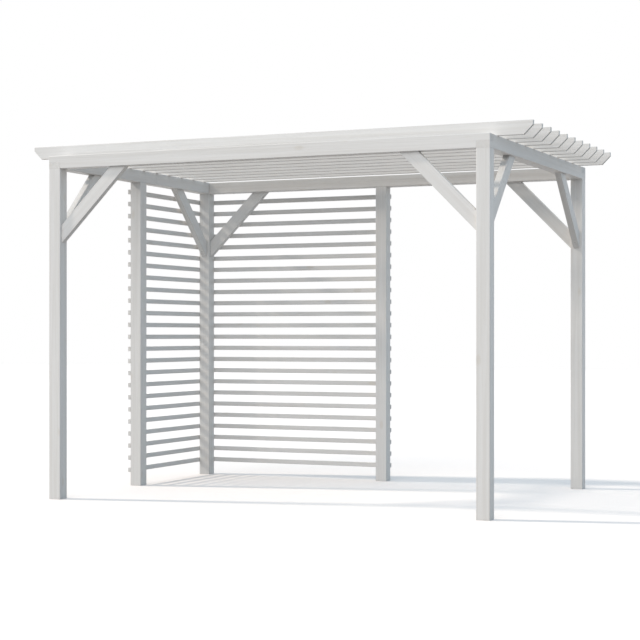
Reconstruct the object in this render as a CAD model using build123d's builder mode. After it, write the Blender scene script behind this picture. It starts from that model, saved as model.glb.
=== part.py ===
from build123d import *
import os

os.makedirs("parts", exist_ok=True)

# Open timber pergola, millimetres, +Z up, feet on Z = 0, front towards -Y
# Square timber of the posts and beams, with the frame measured over its outer faces
post_width = 90.0
beam_height = 90.0
frame_width = 3254.0
frame_depth = 2320.0
post_height = 2330.0

# Rafters on edge across the side beams
rafter_count = 11
rafter_height = 90.0
rafter_thickness = 28.0
rafter_overhang = 231.0
rafter_nose = 29.0
rafter_front_gap = 174.0
rafter_back_gap = 161.0

# Corner braces at 45 degrees, centred in the thickness of the posts
brace_width = 90.0
brace_thickness = 45.0
brace_leg = 523.0

# Level slats on the outer faces at the back left corner
slat_count = 24
slat_height = 35.0
slat_thickness = 22.0
slat_floor_gap = 103.0
slat_beam_gap = 53.0

# Eased long edges
timber_edge = 3.0
board_edge = 2.0

# Outer faces of the frame, with the overall box centred on the origin
left = -frame_width / 2
right = frame_width / 2
front = -(frame_depth + slat_thickness) / 2
back = front + frame_depth

# Centre lines and levels
half_post = post_width / 2
left_line = left + half_post
right_line = right - half_post
front_line = front + half_post
back_line = back - half_post
side_middle_line = (front + back) / 2
back_middle_line = (left + right) / 2
beam_bottom = post_height
beam_middle = post_height + beam_height / 2
beam_top = post_height + beam_height
rafter_top = beam_top + rafter_height

# Posts: one square section with rounded arrises, set out at six places
post_places = {
    "front_left_post": (left_line, front_line),
    "front_right_post": (right_line, front_line),
    "back_right_post": (right_line, back_line),
    "back_left_post": (left_line, back_line),
    "left_middle_post": (left_line, side_middle_line),
    "back_middle_post": (back_middle_line, back_line),
}
for post_name, place in post_places.items():
    with BuildPart() as post:
        with BuildSketch():
            with Locations(place):
                RectangleRounded(post_width, post_width, timber_edge)
        extrude(amount=post_height)
    post.part.label = post_name
    export_step(post.part, "parts/" + post_name + ".step")

# Front and back beams: a half lap at each end leaves the upper half
for beam_name, beam_line in (("front_beam", front_line), ("back_beam", back_line)):
    with BuildPart() as long_beam:
        with BuildSketch(Plane.YZ.offset(left)):
            with Locations((beam_line, beam_middle)):
                RectangleRounded(post_width, beam_height, timber_edge)
        extrude(amount=frame_width)
        with BuildSketch(Plane.XY.offset(beam_bottom)):
            with Locations((left_line, beam_line), (right_line, beam_line)):
                Rectangle(post_width, post_width)
        extrude(amount=beam_height / 2, mode=Mode.SUBTRACT)
    long_beam.part.label = beam_name
    export_step(long_beam.part, "parts/" + beam_name + ".step")

# Left and right beams: a half lap at each end leaves the lower half, which bears on the post
for beam_name, beam_line in (("left_beam", left_line), ("right_beam", right_line)):
    with BuildPart() as side_beam:
        with BuildSketch(Plane.XZ.offset(-front)):
            with Locations((beam_line, beam_middle)):
                RectangleRounded(post_width, beam_height, timber_edge)
        extrude(amount=-frame_depth)
        with BuildSketch(Plane.XY.offset(beam_middle)):
            with Locations((beam_line, front_line), (beam_line, back_line)):
                Rectangle(post_width, post_width)
        extrude(amount=beam_height / 2, mode=Mode.SUBTRACT)
    side_beam.part.label = beam_name
    export_step(side_beam.part, "parts/" + beam_name + ".step")

# Rafters: each end has a short upright nose above a 45 degree cut
rafter_tip = right + rafter_overhang
rafter_cut = rafter_height - rafter_nose
rafter_pitch = (frame_depth - rafter_front_gap - rafter_back_gap) / (rafter_count - 1)
for number in range(rafter_count):
    rafter_line = front + rafter_front_gap + number * rafter_pitch
    with BuildPart() as rafter:
        with BuildSketch(Plane.XZ.offset(-rafter_line)):
            with BuildLine():
                Polyline(
                    (0, beam_top),
                    (rafter_tip - rafter_cut, beam_top),
                    (rafter_tip, rafter_top - rafter_nose),
                    (rafter_tip, rafter_top),
                    (0, rafter_top),
                )
                mirror(about=Plane.YZ)
            make_face()
        extrude(amount=rafter_thickness / 2, both=True)
        fillet(rafter.edges().filter_by(Axis.X), board_edge)
    rafter_name = "rafter_" + str(number + 1).zfill(2)
    rafter.part.label = rafter_name
    export_step(rafter.part, "parts/" + rafter_name + ".step")

# Braces: the profile is drawn from the inner corner of post and beam, where both mitres seat
brace_inner = brace_leg - brace_width * 2 ** 0.5
brace_places = {
    "front_left_brace_front": (left + post_width, front_line, (1, 0, 0)),
    "front_right_brace_front": (right - post_width, front_line, (-1, 0, 0)),
    "back_left_brace_back": (left + post_width, back_line, (1, 0, 0)),
    "back_right_brace_back": (right - post_width, back_line, (-1, 0, 0)),
    "front_left_brace_side": (left_line, front + post_width, (0, 1, 0)),
    "back_left_brace_side": (left_line, back - post_width, (0, -1, 0)),
    "front_right_brace_side": (right_line, front + post_width, (0, 1, 0)),
    "back_right_brace_side": (right_line, back - post_width, (0, -1, 0)),
}
for brace_name, (corner_x, corner_y, outward) in brace_places.items():
    along_beam = Vector(*outward)
    across_beam = along_beam.cross(Vector(0, 0, 1))
    corner = Plane((corner_x, corner_y, beam_bottom), x_dir=along_beam, z_dir=across_beam)
    with BuildPart() as brace:
        with BuildSketch(corner):
            with BuildLine():
                Polyline((brace_inner, 0), (brace_leg, 0), (0, -brace_leg), (0, -brace_inner), close=True)
            make_face()
        extrude(amount=brace_thickness / 2, both=True)
        fillet(brace.edges().filter_by(lambda edge: edge.length > brace_inner), board_edge)
    brace.part.label = brace_name
    export_step(brace.part, "parts/" + brace_name + ".step")

# Slat section and spacing, shared by both screens
slat_pitch = (post_height - slat_floor_gap - slat_beam_gap - slat_height) / (slat_count - 1)
slat_middle = (post_height + slat_floor_gap - slat_beam_gap) / 2

# Side screen, from the front face of the middle post to the back corner
side_screen_front = side_middle_line - half_post
with BuildPart() as side_slats:
    with BuildSketch(Plane.XZ.offset(-side_screen_front)):
        with Locations((left - slat_thickness / 2, slat_middle)):
            with GridLocations(slat_thickness, slat_pitch, 1, slat_count):
                Rectangle(slat_thickness, slat_height)
    extrude(amount=side_screen_front - back)
    chamfer(side_slats.edges().filter_by(Axis.Y), board_edge)
side_slats.part.label = "side_slats"
export_step(side_slats.part, "parts/side_slats.step")

# Back screen, lapping over the ends of the side slats, to the right face of the middle post
back_screen_left = left - slat_thickness
back_screen_right = back_middle_line + half_post
with BuildPart() as back_slats:
    with BuildSketch(Plane.YZ.offset(back_screen_left)):
        with Locations((back + slat_thickness / 2, slat_middle)):
            with GridLocations(slat_thickness, slat_pitch, 1, slat_count):
                Rectangle(slat_thickness, slat_height)
    extrude(amount=back_screen_right - back_screen_left)
    chamfer(back_slats.edges().filter_by(Axis.X), board_edge)
back_slats.part.label = "back_slats"
export_step(back_slats.part, "parts/back_slats.step")
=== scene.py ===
# %% [markdown]
# White timber pergola: six square posts, four beams half-lapped over them, eleven rafters, eight
# corner braces and two screens of level slats. The imported model brings every piece in at its real
# size and place. They could be modelled again here, but then they would no longer be the solids that
# were built, so this script only dresses them. The box of the bare model is kept now, and
# compared with the dressed one at the end.

# %% Load the frame
import bpy
import bmesh
import math
import random
from mathutils import Matrix, Vector


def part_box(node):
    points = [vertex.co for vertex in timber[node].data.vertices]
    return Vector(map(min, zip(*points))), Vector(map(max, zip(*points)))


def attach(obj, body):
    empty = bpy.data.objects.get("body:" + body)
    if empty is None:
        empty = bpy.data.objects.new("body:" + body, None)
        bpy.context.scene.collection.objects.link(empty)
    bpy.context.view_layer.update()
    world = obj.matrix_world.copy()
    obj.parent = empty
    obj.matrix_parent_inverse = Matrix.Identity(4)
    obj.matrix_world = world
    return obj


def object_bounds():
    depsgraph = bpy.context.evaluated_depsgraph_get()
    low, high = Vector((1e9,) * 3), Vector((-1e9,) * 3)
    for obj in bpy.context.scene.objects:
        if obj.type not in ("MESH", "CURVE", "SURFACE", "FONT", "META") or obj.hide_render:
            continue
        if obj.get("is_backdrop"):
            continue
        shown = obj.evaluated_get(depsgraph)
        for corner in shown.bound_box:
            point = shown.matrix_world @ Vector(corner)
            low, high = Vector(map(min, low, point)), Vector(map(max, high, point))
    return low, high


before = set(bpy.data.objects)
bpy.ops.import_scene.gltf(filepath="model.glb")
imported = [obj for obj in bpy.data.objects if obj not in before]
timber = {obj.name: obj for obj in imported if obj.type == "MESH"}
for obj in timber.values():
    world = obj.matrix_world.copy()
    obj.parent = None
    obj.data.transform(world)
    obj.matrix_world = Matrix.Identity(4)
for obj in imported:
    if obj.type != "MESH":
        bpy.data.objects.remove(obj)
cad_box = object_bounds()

scene = bpy.context.scene
print("pieces of timber:", len(timber))

# %% [markdown]
# The camera stands to the right of the pergola at eye height and looks level, so every post stays
# upright in the picture. Tilting it up to take in the roof would make the posts lean together, so
# the lens is shifted up a little instead, as on a view camera. Its length, its place and its turn
# come from the picture's own perspective: where level lines meet, and how tall the posts look.

# %% Camera
picture_side = 640
focal_length_in_pixels = 1604.85
horizon_row = 334.19
eye_from_front_left_corner = Vector((6.3670, -9.5663, 1.1639))
turned_left = 0.420

eye = bpy.data.cameras.new("eye")
eye.sensor_width = 36.0
eye.lens = focal_length_in_pixels / picture_side * eye.sensor_width
eye.shift_y = (horizon_row - picture_side / 2) / picture_side
eye.clip_end = 200.0
camera = bpy.data.objects.new("camera", eye)
camera.location = Vector(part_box("front_left_post")[0]) + eye_from_front_left_corner
camera.rotation_euler = (math.pi / 2, 0.0, turned_left)
scene.collection.objects.link(camera)
scene.camera = camera
print("lens", round(eye.lens, 2), "mm")

# %% [markdown]
# The pergola stands in a plain pale studio: one wide floor and a white surround. A surround bright
# enough to look like paper would also flood the timber with light, and white paint would vanish in
# front of it. So the floor and the surround each get two shaders, and the kind of light ray picks
# one: the camera and reflections see white, and the light that reaches the timber is calmer.
#
# A material is a network of nodes. Two small helpers add a node and join two of them, so that each
# line further on says only what is special about it.

# %% Nodes and the lines between them
def shader(material, kind, **values):
    """Adds a node to a material or world, with values for its inputs by name."""
    node = material.node_tree.nodes.new(kind)
    for label, value in values.items():
        node.inputs[label].default_value = value
    return node


def join(material, source, target):
    """Joins two sockets."""
    material.node_tree.links.new(source, target)


print("node helpers:", shader.__name__, join.__name__)

# %% Two shaders, picked by the ray
def seen_directly(material):
    """Is one for rays of the camera, of reflections and through glass, and nothing for the rest."""
    path = material.node_tree.nodes.new("ShaderNodeLightPath")
    seen = path.outputs["Is Camera Ray"]
    for kind in ("Is Glossy Ray", "Is Transmission Ray"):
        either = material.node_tree.nodes.new("ShaderNodeMath")
        either.operation = "MAXIMUM"
        join(material, seen, either.inputs[0])
        join(material, path.outputs[kind], either.inputs[1])
        seen = either.outputs[0]
    return seen


def split_by_ray(material, output, lighting, looks):
    """Lights the scene with one shader and shows another."""
    mix = shader(material, "ShaderNodeMixShader")
    join(material, seen_directly(material), mix.inputs[0])
    join(material, lighting.outputs[0], mix.inputs[1])
    join(material, looks.outputs[0], mix.inputs[2])
    join(material, mix.outputs[0], shader(material, output).inputs[0])
    print(material.name, "lights with", lighting.name, "and looks like", looks.name)


studio = bpy.data.worlds.new("studio")
scene.world = studio
studio.use_nodes = True
studio.node_tree.nodes.clear()
sky = shader(studio, "ShaderNodeBackground", Color=(0.66, 0.84, 1.0, 1), Strength=0.69)
white = shader(studio, "ShaderNodeBackground", Color=(1, 1, 1, 1), Strength=1.0)
split_by_ray(studio, "ShaderNodeOutputWorld", sky, white)
scene.view_settings.view_transform = "Standard"

# %% [markdown]
# The floor could be a curved backdrop, but the camera looks level and the surround is white, so a
# flat sheet that reaches far out has no edge that shows. What the camera sees of it is almost white
# with a touch of glow, which keeps only the soft shadow that ties the feet to the floor. What the
# timber sees is a darker floor, so the undersides of beams and rafters fall into shade as they
# should.

# %% Floor
def blank_material(name):
    """A material with nothing in it yet."""
    material = bpy.data.materials.new(name)
    material.use_nodes = True
    material.node_tree.nodes.clear()
    return material


floor_reach = 40.0
floor_corners = [(x * floor_reach, y * floor_reach, 0) for x, y in ((-1, -1), (1, -1), (1, 1), (-1, 1))]
floor_mesh = bpy.data.meshes.new("floor")
floor_mesh.from_pydata(floor_corners, [], [(0, 1, 2, 3)])
floor = bpy.data.objects.new("floor", floor_mesh)
scene.collection.objects.link(floor)

pale = blank_material("pale_floor")
bounce = shader(pale, "ShaderNodeBsdfDiffuse", Color=(0.27, 0.25, 0.235, 1))
paper = shader(pale, "ShaderNodeBsdfDiffuse", Color=(0.90, 0.86, 0.84, 1))
glow = shader(pale, "ShaderNodeEmission", Color=(1, 1, 1, 1), Strength=0.03)
glowing_paper = shader(pale, "ShaderNodeAddShader")
join(pale, paper.outputs[0], glowing_paper.inputs[0])
join(pale, glow.outputs[0], glowing_paper.inputs[1])
split_by_ray(pale, "ShaderNodeOutputMaterial", bounce, glowing_paper)
floor_mesh.materials.append(pale)
floor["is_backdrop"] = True
print("floor", 2 * floor_reach, "m wide")

# %% [markdown]
# Three lamps give the timber its shape. Area lamps close by would be the usual choice, but across
# nearly four metres of roof they fall off from one end to the other, so these are far lamps with
# wide discs. The key stands high on the left and a little in front, so it rakes along the rafters
# and leaves the right-hand faces in shade. Two much broader ones, in front and behind, lift the
# faces on those sides and cast no shadow with an edge.

# %% Key, front and back lamps
def far_lamp(name, towards, energy, disc_degrees, colour):
    """A lamp a long way off, in the direction given from the object, with a disc that wide."""
    light = bpy.data.lights.new(name, "SUN")
    light.energy = energy
    light.angle = math.radians(disc_degrees)
    light.color = colour
    lamp = bpy.data.objects.new(name, light)
    lamp.rotation_euler = Vector(towards).to_track_quat("Z", "Y").to_euler()
    scene.collection.objects.link(lamp)
    print(name, "lamp", energy, "with a disc of", disc_degrees, "degrees")


far_lamp("key", towards=(-0.772, -0.181, 0.610), energy=2.2, disc_degrees=4.5, colour=(1.0, 0.89, 0.77))
far_lamp("front", towards=(0.05, -0.86, 0.50), energy=1.2, disc_degrees=60.0, colour=(1.0, 0.89, 0.79))
far_lamp("back", towards=(-0.30, 0.92, 0.25), energy=1.0, disc_degrees=60.0, colour=(1.0, 0.93, 0.86))

# %% [markdown]
# Sawn and planed timber never has a razor edge: every cut end is eased a little, and where two
# pieces meet flush the two eased edges leave the fine line that shows a joint. A bump could fake
# that in the picture, but not on the outline or in an exported mesh, so it is real geometry. The
# model's faces come as triangles, so they are first welded and dissolved into whole faces, and a
# narrow bevel then runs round every sharp edge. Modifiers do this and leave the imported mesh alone.

# %% Eased edges
eased_width = 0.0008
same_point = 0.00001
flat_within = math.radians(0.5)
sharp_from = math.radians(30)


def ease_edges(piece):
    """Rounds the sharp edges of a piece of timber."""
    weld = piece.modifiers.new("weld", "WELD")
    weld.merge_threshold = same_point
    whole = piece.modifiers.new("whole_faces", "DECIMATE")
    whole.decimate_type = "DISSOLVE"
    whole.angle_limit = flat_within
    ease = piece.modifiers.new("eased", "BEVEL")
    ease.width = eased_width
    ease.segments = 2
    ease.limit_method = "ANGLE"
    ease.angle_limit = sharp_from
    ease.use_clamp_overlap = False
    ease.harden_normals = True


for piece in timber.values():
    ease_edges(piece)
print("eased", len(timber), "pieces by", eased_width * 1000, "mm")

# %% [markdown]
# The finish is white satin paint on planed softwood. It could be one flat white, but under real
# paint the grain still shows as faint long streaks with a few ghosted knots, the arrises are rubbed
# thin, and the cut ends drink more paint and look duller. All of it runs along the board, so the
# paint needs to know which way that is. It measures its place along three axes of its own board:
# lengthways, across, and through.
#
# Materials are built from small sums, so the first helpers add one sum each. A value may be a plain
# number or the result of an earlier sum.

# %% Sums for the paint
def feed(material, socket, value):
    """Gives an input a value, which may be another node's socket."""
    if isinstance(value, bpy.types.NodeSocket):
        join(material, value, socket)
    else:
        socket.default_value = value


def number(material, action, *values):
    """A sum of numbers."""
    node = material.node_tree.nodes.new("ShaderNodeMath")
    node.operation = action
    for socket, value in zip(node.inputs, values):
        feed(material, socket, value)
    return node.outputs[0]


def vector(material, action, *values):
    """A sum of directions or places."""
    node = material.node_tree.nodes.new("ShaderNodeVectorMath")
    node.operation = action
    for socket, value in zip(node.inputs, values):
        feed(material, socket, value)
    return node.outputs["Value" if action in ("DOT_PRODUCT", "LENGTH") else "Vector"]


def spread(material, value, low, high):
    """Turns low..high into nothing..one, smoothly and with the ends held."""
    node = material.node_tree.nodes.new("ShaderNodeMapRange")
    node.interpolation_type = "SMOOTHSTEP"
    feed(material, node.inputs["Value"], value)
    feed(material, node.inputs["From Min"], low)
    feed(material, node.inputs["From Max"], high)
    return node.outputs["Result"]


print("sums ready")

# %% [markdown]
# No two boards come from the same part of a tree. Each piece could have a material of its own, but
# one roll of the dice for each piece does the same: it shifts the board far away through the
# pattern. The 24 slats of a screen are one piece in the model, so there the height decides which
# slat a point is on, and the slat's number is added to the dice.

# %% Where a point lies on its board
slat_count = 24
slat_height = 0.035
slats_low, slats_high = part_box("side_slats")
slat_pitch = (slats_high[2] - slats_low[2] - slat_height) / (slat_count - 1)
below_first_slat = slats_low[2] - (slat_pitch - slat_height) / 2


def slat_number(paint, spot):
    """Counts the slats upwards from nothing; the count changes halfway between two of them."""
    height = vector(paint, "DOT_PRODUCT", spot, (0, 0, 1))
    climbed = number(paint, "SUBTRACT", height, below_first_slat)
    return number(paint, "FLOOR", number(paint, "DIVIDE", climbed, slat_pitch))


def dice_for_board(paint, slat):
    """Random values that are the same all over one board."""
    piece_step, slat_step = 91.7, 3.17
    info = paint.node_tree.nodes.new("ShaderNodeObjectInfo")
    board_number = number(paint, "MULTIPLY", info.outputs["Random"], piece_step)
    if slat is not None:
        board_number = number(paint, "ADD", board_number, number(paint, "MULTIPLY", slat, slat_step))
    dice = paint.node_tree.nodes.new("ShaderNodeTexWhiteNoise")
    dice.noise_dimensions = "1D"
    join(paint, board_number, dice.inputs["W"])
    return dice


def place_on_board(paint, spot, along, across, dice):
    """The place lengthways, across and through a board, in metres, moved by its dice."""
    furthest_shift = (31.0, 17.0, 23.0)
    place = paint.node_tree.nodes.new("ShaderNodeCombineXYZ")
    for socket, axis in zip(place.inputs, (along, across, along.cross(across))):
        join(paint, vector(paint, "DOT_PRODUCT", spot, tuple(axis)), socket)
    shift = vector(paint, "MULTIPLY", dice.outputs["Color"], furthest_shift)
    return vector(paint, "ADD", place.outputs[0], shift)


print("a slat every", round(slat_pitch * 1000, 1), "mm, from", round(below_first_slat * 1000, 1), "mm up")

# %% [markdown]
# Four layers of noise make the wood and the brushwork: broad streaks of grain, fine fibres, the
# brush marks of the paint, and soft patches where it went on thicker. A picture of wood would be
# quicker, but it repeats and has no true size. Noise that is squeezed across the board and stretched
# along it looks like grain at any distance.

# %% Grain, brush marks and patches
# Each layer says how often it changes in a metre along and across the board, then its detail, its
# roughness and how far it is stirred
grain_layers = {
    "streaks": (1.1, 46.0, 4.0, 0.55, 0.35),
    "fibres": (7.0, 420.0, 3.0, 0.6, 0.2),
    "brush": (2.6, 150.0, 2.0, 0.5, 0.0),
    "patches": (2.0, 7.0, 2.0, 0.5, 0.0),
}


def noise(material, place, detail, roughness, stirred=0.0):
    """Plain noise at a place that is already scaled."""
    node = shader(material, "ShaderNodeTexNoise", Scale=1.0, Detail=detail, Roughness=roughness)
    node.inputs["Distortion"].default_value = stirred
    join(material, place, node.inputs["Vector"])
    return node.outputs[0]


def grain_layer(paint, board, along_rate, across_rate, detail, roughness, stirred):
    """One layer of noise, stretched along the board."""
    place = vector(paint, "MULTIPLY", board, (along_rate, across_rate, across_rate))
    return noise(paint, place, detail, roughness, stirred)


for layer, values in grain_layers.items():
    print(layer, "about", round(1000 / values[1], 1), "mm wide and", round(1000 / values[0]), "mm long")

# %% [markdown]
# Knots show through white paint as faint yellow-brown ovals with a ripple round them. They could be
# set one by one, but every board has some, so cells of random points place them: the distance to
# the nearest point gives both the oval and its rings. The cells are longer along the board, because
# branches leave long eyes.

# %% Knots
knots_per_metre = (3.2, 7.5, 7.5)
knot_edge, knot_core = 0.16, 0.06
knot_ring_rate = 190.0


def knots_on(paint, board):
    """How much a point is in a knot, and the ripple of the knot's rings."""
    cells = shader(paint, "ShaderNodeTexVoronoi", Scale=1.0)
    join(paint, vector(paint, "MULTIPLY", board, knots_per_metre), cells.inputs["Vector"])
    inside = spread(paint, cells.outputs["Distance"], knot_edge, knot_core)
    ripple = number(paint, "SINE", number(paint, "MULTIPLY", cells.outputs["Distance"], knot_ring_rate))
    return inside, number(paint, "MULTIPLY", ripple, inside)


print("a knot is about", round(1000 * knot_edge / knots_per_metre[1]), "mm from its middle to its side")

# %% [markdown]
# Where a board is cut across, the growth rings of the tree show. A ring pattern could be painted on
# each end, but the rings are really one set of tubes that runs the whole length of the board. So a
# heart line is set for each piece, near its middle, and the distance from it makes the rings. They
# are shown only where the board is cut, square or on the slope.

# %% Cut ends and their rings
ring_rate = 1500.0
ring_wander = 0.006
end_from, end_to = 0.55, 0.68


def on_cut_end(paint, where, along):
    """Is one on square and sloping cuts, which look along the board, and nothing on its sides."""
    looks_along = vector(paint, "DOT_PRODUCT", where.outputs["Normal"], tuple(along))
    return spread(paint, number(paint, "ABSOLUTE", looks_along), end_from, end_to)


def growth_rings(paint, spot, along, slat, patches):
    """Rings round the board's heart, which wander a little where the paint is patchy."""
    heart = paint.node_tree.nodes.new("ShaderNodeAttribute")
    heart.attribute_type = "OBJECT"
    heart.attribute_name = "heart"
    from_heart = vector(paint, "SUBTRACT", spot, heart.outputs["Vector"])
    if slat is not None:
        rise = paint.node_tree.nodes.new("ShaderNodeCombineXYZ")
        join(paint, number(paint, "MULTIPLY", slat, slat_pitch), rise.inputs["Z"])
        from_heart = vector(paint, "SUBTRACT", from_heart, rise.outputs[0])
    radius = vector(paint, "LENGTH", vector(paint, "CROSS_PRODUCT", from_heart, tuple(along)))
    radius = number(paint, "ADD", radius, number(paint, "MULTIPLY", patches, ring_wander))
    wave = number(paint, "SINE", number(paint, "MULTIPLY", radius, ring_rate))
    return number(paint, "ADD", number(paint, "MULTIPLY", wave, 0.5), 0.5)


print("a ring every", round(2 * math.pi / ring_rate * 1000, 1), "mm")

# %% [markdown]
# Paint wears first on the arrises, and deep in the corners the paint is darkened with a painted shade.
# Both could be painted on by hand, but the renderer can find them: a rounded copy of the surface differs
# from the real one only near an edge, and a nook is where little open air can be seen. The wear is
# broken up by the patches, so that it comes and goes along an arris.

# %% Rubbed arrises and painted shade in nooks
arris_reach = 0.004
nearly_flat, well_round = 0.985, 0.90
paint_holds, paint_wears = 0.50, 0.68
nook_reach = 0.035
half_open, almost_shut = 0.75, 0.15
few_samples = 4


def rubbed_arrises(paint, patches):
    """Is one where the paint has rubbed thin."""
    rounded = shader(paint, "ShaderNodeBevel", Radius=arris_reach)
    rounded.samples = few_samples
    shape = paint.node_tree.nodes.new("ShaderNodeNewGeometry")
    agree = vector(paint, "DOT_PRODUCT", rounded.outputs["Normal"], shape.outputs["Normal"])
    near_arris = spread(paint, agree, nearly_flat, well_round)
    return number(paint, "MULTIPLY", near_arris, spread(paint, patches, paint_holds, paint_wears))


# Painted shade: the occlusion mask greys the paint where little light gets into a corner
def painted_nook_shade(paint):
    """Is one deep in a corner, where a painted shade darkens the paint."""
    nook = shader(paint, "ShaderNodeAmbientOcclusion", Distance=nook_reach)
    nook.samples = few_samples
    return spread(paint, nook.outputs["AO"], half_open, almost_shut)


print("wear reaches", arris_reach * 1000, "mm from an arris, dust", nook_reach * 1000, "mm into a corner")

# %% [markdown]
# The colour is laid on as a painter would, one thin glaze over another, each with its own colour and
# the most that it may cover. The same masks then roughen the gloss, since bare wood and cut ends are
# duller than paint, and raise the surface by fractions of a millimetre, so that the streaks catch a
# raking light. All of that could be baked into pictures, but nodes stay sharp in a close-up.

# %% Glazes, gloss and relief
def tint(material, share, under, over):
    """Mixes a colour over another by a share."""
    node = material.node_tree.nodes.new("ShaderNodeMix")
    node.data_type = "RGBA"
    join(material, share, node.inputs["Factor"])
    for socket, value in ((node.inputs["A"], under), (node.inputs["B"], over)):
        feed(material, socket, value if isinstance(value, bpy.types.NodeSocket) else (*value, 1.0))
    return node.outputs["Result"]


def glazed(material, colour, glazes):
    """Lays thin glazes over a colour; each has a mask, the most that it covers, and its colour."""
    for mask, most, glaze in glazes:
        colour = tint(material, number(material, "MULTIPLY", mask, most), colour, glaze)
    return colour


def roughened(material, gloss, masks):
    """Adds to the roughness where each mask is one."""
    for mask, more in masks:
        gloss = number(material, "ADD", number(material, "MULTIPLY", mask, more), gloss)
    return gloss


def raised(material, layers):
    """Bumps laid one on another; each has a pattern and its depth in metres."""
    face = None
    for pattern, depth in layers:
        bump = shader(material, "ShaderNodeBump", Strength=1.0, Distance=depth)
        join(material, pattern, bump.inputs["Height"])
        if face is not None:
            join(material, face, bump.inputs["Normal"])
        face = bump.outputs["Normal"]
    return face


print("coats:", tint.__name__, glazed.__name__, roughened.__name__, raised.__name__)

# %% [markdown]
# White paint is never pure white: it gives back about four fifths of the light, a little warm, and
# every glaze over it is duller or browner. Stronger colours would show the wood more, but this is a
# coat of paint that covers well, so the glazes stay thin.

# %% Colours of the coat
fresh_white = (0.800, 0.790, 0.778)
streak_white = (0.742, 0.727, 0.706)
fibre_grey = (0.66, 0.64, 0.61)
older_white = (0.735, 0.720, 0.700)
knot_brown = (0.60, 0.51, 0.38)
end_grey = (0.70, 0.67, 0.63)
ring_brown = (0.60, 0.55, 0.48)
bare_wood = (0.60, 0.50, 0.37)
# A grey for the painted shade deep in corners
nook_shade_grey = (0.42, 0.41, 0.40)
streaks_from, streaks_to = 0.35, 0.70
fibres_from, fibres_to = 0.50, 0.75
satin_roughness = 0.42
paint_ior = 1.45
print("fresh paint", fresh_white, "at roughness", satin_roughness)

# %% [markdown]
# Now the layers go together into one paint, for boards whose grain runs along a given axis. It could
# be one long list of nodes, but with the helpers above it reads as the coats do: the grain, the marks
# on it, then colour, gloss and relief.

# %% Painted timber for one grain direction
def painted_timber(name, along, across, slatted=False):
    """White paint on softwood whose grain runs along one axis."""
    paint = blank_material(name)
    along = Vector(along).normalized()
    across = Vector(across).normalized()
    where = paint.node_tree.nodes.new("ShaderNodeTexCoord")
    spot = where.outputs["Object"]
    slat = slat_number(paint, spot) if slatted else None
    dice = dice_for_board(paint, slat)
    board = place_on_board(paint, spot, along, across, dice)

    grain = {layer: grain_layer(paint, board, *values) for layer, values in grain_layers.items()}
    knot, knot_ripple = knots_on(paint, board)
    cut_end = on_cut_end(paint, where, along)
    rings = growth_rings(paint, spot, along, slat, grain["patches"])
    rings = number(paint, "MULTIPLY", rings, cut_end)
    rubbed = rubbed_arrises(paint, grain["patches"])
    # How deep a point lies in a corner, for the painted shade there
    painted_shade = painted_nook_shade(paint)

    # Each glaze is a mask, the most that it covers, and its colour
    broad = spread(paint, grain["streaks"], streaks_from, streaks_to)
    fine = spread(paint, grain["fibres"], fibres_from, fibres_to)
    colour = glazed(paint, tint(paint, broad, fresh_white, streak_white), (
        (fine, 0.30, fibre_grey),
        (dice.outputs["Value"], 0.22, older_white),
        (knot, 0.20, knot_brown),
        (cut_end, 0.12, end_grey),
        (rings, 0.10, ring_brown),
        (rubbed, 0.28, bare_wood),
        # Painted shade: corners are darkened towards grey
        (painted_shade, 0.40, nook_shade_grey),
    ))
    # Each of these is a mask and how much duller it makes the paint
    gloss = roughened(paint, satin_roughness, ((grain["brush"], 0.20), (cut_end, 0.22), (rubbed, 0.12)))
    # Each of these is a pattern and its depth in metres
    face = raised(paint, (
        (grain["streaks"], 0.00100),
        (grain["fibres"], 0.00028),
        (grain["brush"], 0.00035),
        (knot_ripple, 0.00030),
        (rings, 0.00050),
    ))

    coat = shader(paint, "ShaderNodeBsdfPrincipled", IOR=paint_ior)
    join(paint, colour, coat.inputs["Base Color"])
    join(paint, gloss, coat.inputs["Roughness"])
    join(paint, face, coat.inputs["Normal"])
    join(paint, coat.outputs[0], shader(paint, "ShaderNodeOutputMaterial").inputs[0])
    print(name, "has", len(paint.node_tree.nodes), "nodes")
    return paint


# %% [markdown]
# The model has five kinds of board: upright, running left to right, running front to back, and the
# slats of the two screens. The braces slope four ways and get a paint for each slope. One material
# that found the way of a board by itself would be shorter, but it would have to guess the grain of
# a square post.

# %% A paint for each way that a board runs
lengthways = {
    "upright": painted_timber("paint_upright", (0, 0, 1), (1, 0, 0)),
    "wide": painted_timber("paint_wide", (1, 0, 0), (0, 1, 0)),
    "deep": painted_timber("paint_deep", (0, 1, 0), (1, 0, 0)),
    "wide_slat": painted_timber("paint_wide_slats", (1, 0, 0), (0, 1, 0), slatted=True),
    "deep_slat": painted_timber("paint_deep_slats", (0, 1, 0), (1, 0, 0), slatted=True),
}
brace_grain = {
    "front_left_brace_front": (1, 0, 1),
    "front_right_brace_front": (-1, 0, 1),
    "back_left_brace_back": (1, 0, 1),
    "back_right_brace_back": (-1, 0, 1),
    "front_left_brace_side": (0, 1, 1),
    "front_right_brace_side": (0, 1, 1),
    "back_left_brace_side": (0, -1, 1),
    "back_right_brace_side": (0, -1, 1),
}
for along in sorted(set(brace_grain.values())):
    square = (0, 1, 0) if along[0] else (1, 0, 0)
    lengthways[along] = painted_timber("paint_slope_" + str(len(lengthways)), along, square)

# %% [markdown]
# Each piece gets the paint of its own direction, and a heart line for its rings. The heart could lie
# dead in the middle, but sawn timber rarely has it there, so seeded dice set it a little off, and
# give the same pergola on every run.

# %% Paint every piece along its own grain
heart_scatter = 0.05
chance = random.Random(11)


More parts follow.
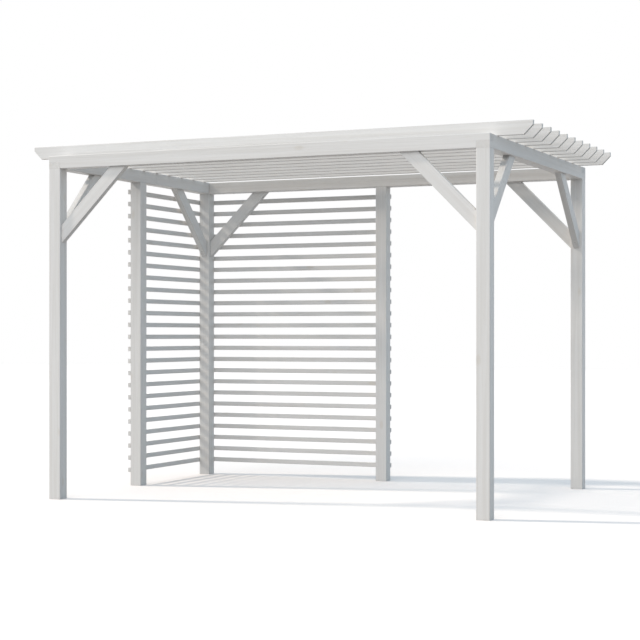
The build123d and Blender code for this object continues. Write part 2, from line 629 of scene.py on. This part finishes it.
def grain_of(name):
    """The way a piece runs, from its name."""
    if name in brace_grain:
        return brace_grain[name]
    if name.endswith("post"):
        return "upright"
    if name == "side_slats":
        return "deep_slat"
    if name == "back_slats":
        return "wide_slat"
    if name in ("left_beam", "right_beam"):
        return "deep"
    return "wide"


def middle_of(name):
    """The middle of a piece's box."""
    low, high = (Vector(corner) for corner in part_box(name))
    return (low + high) / 2


for name, piece in timber.items():
    heart = middle_of(name)
    if name.endswith("slats"):
        heart.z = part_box(name)[0][2] + slat_height / 2
    piece["heart"] = [value + chance.uniform(-heart_scatter, heart_scatter) for value in heart]
    for holder in piece.material_slots:
        holder.material = lengthways[grain_of(name)]
print("painted", len(timber), "pieces")

# %% [markdown]
# The slats, braces, rafters and lap joints are held by countersunk wood screws. They go in the usual
# places, which hardly show from the front: the outside of the slats where a post lies behind, the
# top of the rafters over the side beams, the top of each lap joint, and the underside of the braces.
# A list of places would do, but here they are worked out from the boxes of the pieces, so that they
# follow the timber if its size changes.

# %% Screws in the slats, the rafters and the laps
lap_step = 0.020
screw_places = {"slat_screws": [], "rafter_screws": [], "lap_screws": [], "brace_screws": []}

side_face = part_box("side_slats")[0][0]
back_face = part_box("back_slats")[1][1]
for step in range(slat_count):
    level = slats_low[2] + slat_height / 2 + slat_pitch * step
    for post in ("left_middle_post", "back_left_post"):
        spot = (side_face, middle_of(post).y, level)
        screw_places["slat_screws"].append(("side_slats", spot, (-1, 0, 0)))
    for post in ("back_left_post", "back_middle_post"):
        spot = (middle_of(post).x, back_face, level)
        screw_places["slat_screws"].append(("back_slats", spot, (0, 1, 0)))

side_beams = ("left_beam", "right_beam")
for name in sorted(node for node in timber if node.startswith("rafter")):
    for beam in side_beams:
        spot = (middle_of(beam).x, middle_of(name).y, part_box(name)[1][2])
        screw_places["rafter_screws"].append((name, spot, (0, 0, 1)))

for name in ("front_beam", "back_beam"):
    for beam in side_beams:
        for step in (-lap_step, lap_step):
            spot = (middle_of(beam).x + step, middle_of(name).y + step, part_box(name)[1][2])
            screw_places["lap_screws"].append((name, spot, (0, 0, 1)))
print({kind: len(places) for kind, places in screw_places.items() if places})

# %% [markdown]
# A brace slopes. A level screw would break out of its thin tip, so the screws stand square on its
# long underside: one a fixed distance up the slope from the lower tip, and one as far short of the
# upper tip.

# %% Screws in the braces
from_tip = 0.060


def underside_of(name):
    """The lower tip, the way up and the outward direction of a brace's long underside."""
    low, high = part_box(name)
    slope = brace_grain[name]
    tip = middle_of(name)
    for axis in range(3):
        if slope[axis] > 0:
            tip[axis] = low[axis]
        elif slope[axis] < 0:
            tip[axis] = high[axis]
    outward = Vector((slope[0], slope[1], -1)).normalized()
    return tip, Vector(slope).normalized(), outward


for name in brace_grain:
    low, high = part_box(name)
    tip, up, outward = underside_of(name)
    length = (high[2] - low[2]) * math.sqrt(2)
    for distance in (from_tip, length - from_tip):
        screw_places["brace_screws"].append((name, tuple(tip + up * distance), tuple(outward)))
print("brace screws:", len(screw_places["brace_screws"]))

# %% [markdown]
# A screw head and its hole are turned shapes. They could be cylinders and cones out of the box, put
# together with Booleans, but a turned shape is simply a stack of rings round one axis, joined into a
# closed skin. The drive is a six-lobed star, which is a ring whose radius waves six times.

# %% Rings and skins
lobes = 6


def ring(mesh, matrix, radius, height, sides, wave=0.0):
    """A ring of points round the local Z axis, whose radius may wave by a share of itself."""
    points = []
    for step in range(sides):
        angle = 2 * math.pi * step / sides
        reach = radius * (1 + wave * math.cos(lobes * angle))
        point = Vector((reach * math.cos(angle), reach * math.sin(angle), height))
        points.append(mesh.verts.new(matrix @ point))
    return points


def closed_skin(mesh, rings):
    """Faces from each ring to the next, and a lid on both ends."""
    for lower, upper in zip(rings, rings[1:]):
        for step in range(len(lower)):
            after = (step + 1) % len(lower)
            mesh.faces.new((lower[step], lower[after], upper[after], upper[step]))
    mesh.faces.new(list(reversed(rings[0])))
    mesh.faces.new(rings[-1])


print("a drive has", lobes, "lobes")

# %% [markdown]
# Each screw sits in a real conical hole, so its head lies a little under the face. A head could be a
# picture on a disc, but then nothing would catch the light as a socket does. The hole is a hair
# wider than the head, as a countersink leaves it, and its cone starts over the face, so that it cuts
# clean through the paint.

# %% Screw head and countersunk hole
# Every pair is a radius and a height over the face of the timber, in metres
head_profile = ((0.0016, -0.0046), (0.0045, -0.0014), (0.0046, -0.0009), (0.0044, -0.0007))
drive_profile = ((0.0023, -0.0006), (0.0021, -0.0026))
hole_profile = ((0.0017, -0.0049), (0.0050, -0.0010), (0.0053, 0.0010))
head_sides, hole_sides = 24, 20
lobe_depth = 0.14


def screw_head(mesh, matrix):
    """A countersunk head with a six-lobed drive, sunk a little under the face."""
    rings = [ring(mesh, matrix, *point, head_sides) for point in head_profile]
    rings += [ring(mesh, matrix, *point, head_sides, lobe_depth) for point in drive_profile]
    closed_skin(mesh, rings)


def hole_cone(mesh, matrix):
    """The tool that cuts a countersunk hole."""
    closed_skin(mesh, [ring(mesh, matrix, *point, hole_sides) for point in hole_profile])


print("screw heads", round(2000 * max(radius for radius, height in head_profile), 1), "mm wide")

# %% [markdown]
# The screws are stainless steel, which stays bright out of doors and doesn't stain the paint. Plain
# metal would do from afar, but close up it looks like a mirror, so a fine noise breaks up its gloss
# and its colour, as the stamping of a real head does.

# %% Stainless steel
light_steel = (0.60, 0.60, 0.59)
dark_steel = (0.47, 0.46, 0.45)
stamping_rate = (900, 900, 900)
stamping_detail, stamping_roughness = 3.0, 0.6
stamping_depth = 0.00004
stamped_from, stamped_to = 0.3, 0.7
brightest, dullest = 0.28, 0.46

steel = blank_material("stainless_screw")
steel_where = steel.node_tree.nodes.new("ShaderNodeTexCoord")
steel_place = vector(steel, "MULTIPLY", steel_where.outputs["Object"], stamping_rate)
stamped = noise(steel, steel_place, stamping_detail, stamping_roughness)
worn = spread(steel, stamped, stamped_from, stamped_to)
metal = shader(steel, "ShaderNodeBsdfPrincipled", Metallic=1.0)
join(steel, tint(steel, worn, light_steel, dark_steel), metal.inputs["Base Color"])
join(steel, roughened(steel, brightest, ((worn, dullest - brightest),)), metal.inputs["Roughness"])
join(steel, raised(steel, ((stamped, stamping_depth),)), metal.inputs["Normal"])
join(steel, metal.outputs[0], shader(steel, "ShaderNodeOutputMaterial").inputs[0])
print("steel between", brightest, "and", dullest, "rough")

# %% [markdown]
# Now the screws go in. Each head could be an object of its own, but there are over a hundred, so the
# heads of one kind are joined into a single mesh that rides with the timber. Each is turned by
# chance, as nobody lines up their screws, and its hole is noted down at the same time.

# %% Drive the screws
smooth_within = math.radians(35)
one_lobe = 2 * math.pi / lobes
holes = {}


def stand_on(spot, outward, turn):
    """A matrix that puts a small part on a face, pointing out of it."""
    facing = Vector(outward).to_track_quat("Z", "Y").to_matrix().to_4x4()
    return Matrix.Translation(spot) @ facing @ Matrix.Rotation(turn, 4, "Z")


def object_from(mesh, name):
    """Turns a finished bmesh into an object in the scene."""
    bmesh.ops.recalc_face_normals(mesh, faces=mesh.faces)
    data = bpy.data.meshes.new(name)
    mesh.to_mesh(data)
    mesh.free()
    made = bpy.data.objects.new(name, data)
    scene.collection.objects.link(made)
    return made


for kind, places in screw_places.items():
    heads = bmesh.new()
    for name, spot, outward in places:
        matrix = stand_on(spot, outward, chance.uniform(0, one_lobe))
        screw_head(heads, matrix)
        hole_cone(holes.setdefault(name, bmesh.new()), matrix)
    heads = object_from(heads, kind)
    heads.data.materials.append(steel)
    for face in heads.data.polygons:
        face.use_smooth = True
    heads.data.set_sharp_from_angle(angle=smooth_within)
    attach(heads, "root")
    print(kind, len(heads.data.polygons), "faces")

# %% [markdown]
# Last come the holes themselves. They could be cut into the meshes for good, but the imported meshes
# stay as they came in. So the cones of a piece are one hidden mesh, and a Boolean modifier takes it
# away from the timber. It works after the bevel, so the rim of a hole stays as crisp as a drilled
# one.

# %% Drill the holes
for name, cones in holes.items():
    cutter = object_from(cones, "holes_" + name)
    cutter.hide_render = True
    cutter.hide_set(True)
    cutter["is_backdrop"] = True
    drill = timber[name].modifiers.new("screw_holes", "BOOLEAN")
    drill.operation = "DIFFERENCE"
    drill.solver = "EXACT"
    drill.object = cutter
print("drilled", len(holes), "pieces")

# %% [markdown]
# To finish, the dressed pergola is measured again. A look from all sides would miss a millimetre, so
# the two boxes are compared. Paint adds nothing, the eased edges only take away, and the screws are
# sunk, so the boxes should agree to a small part of a millimetre.

# %% Finish
first, second = cad_box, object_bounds()
changes = [abs(new - old) for corners in zip(first, second) for old, new in zip(*corners)]
print("the box changed by", round(max(changes) * 1000, 3), "mm at most")
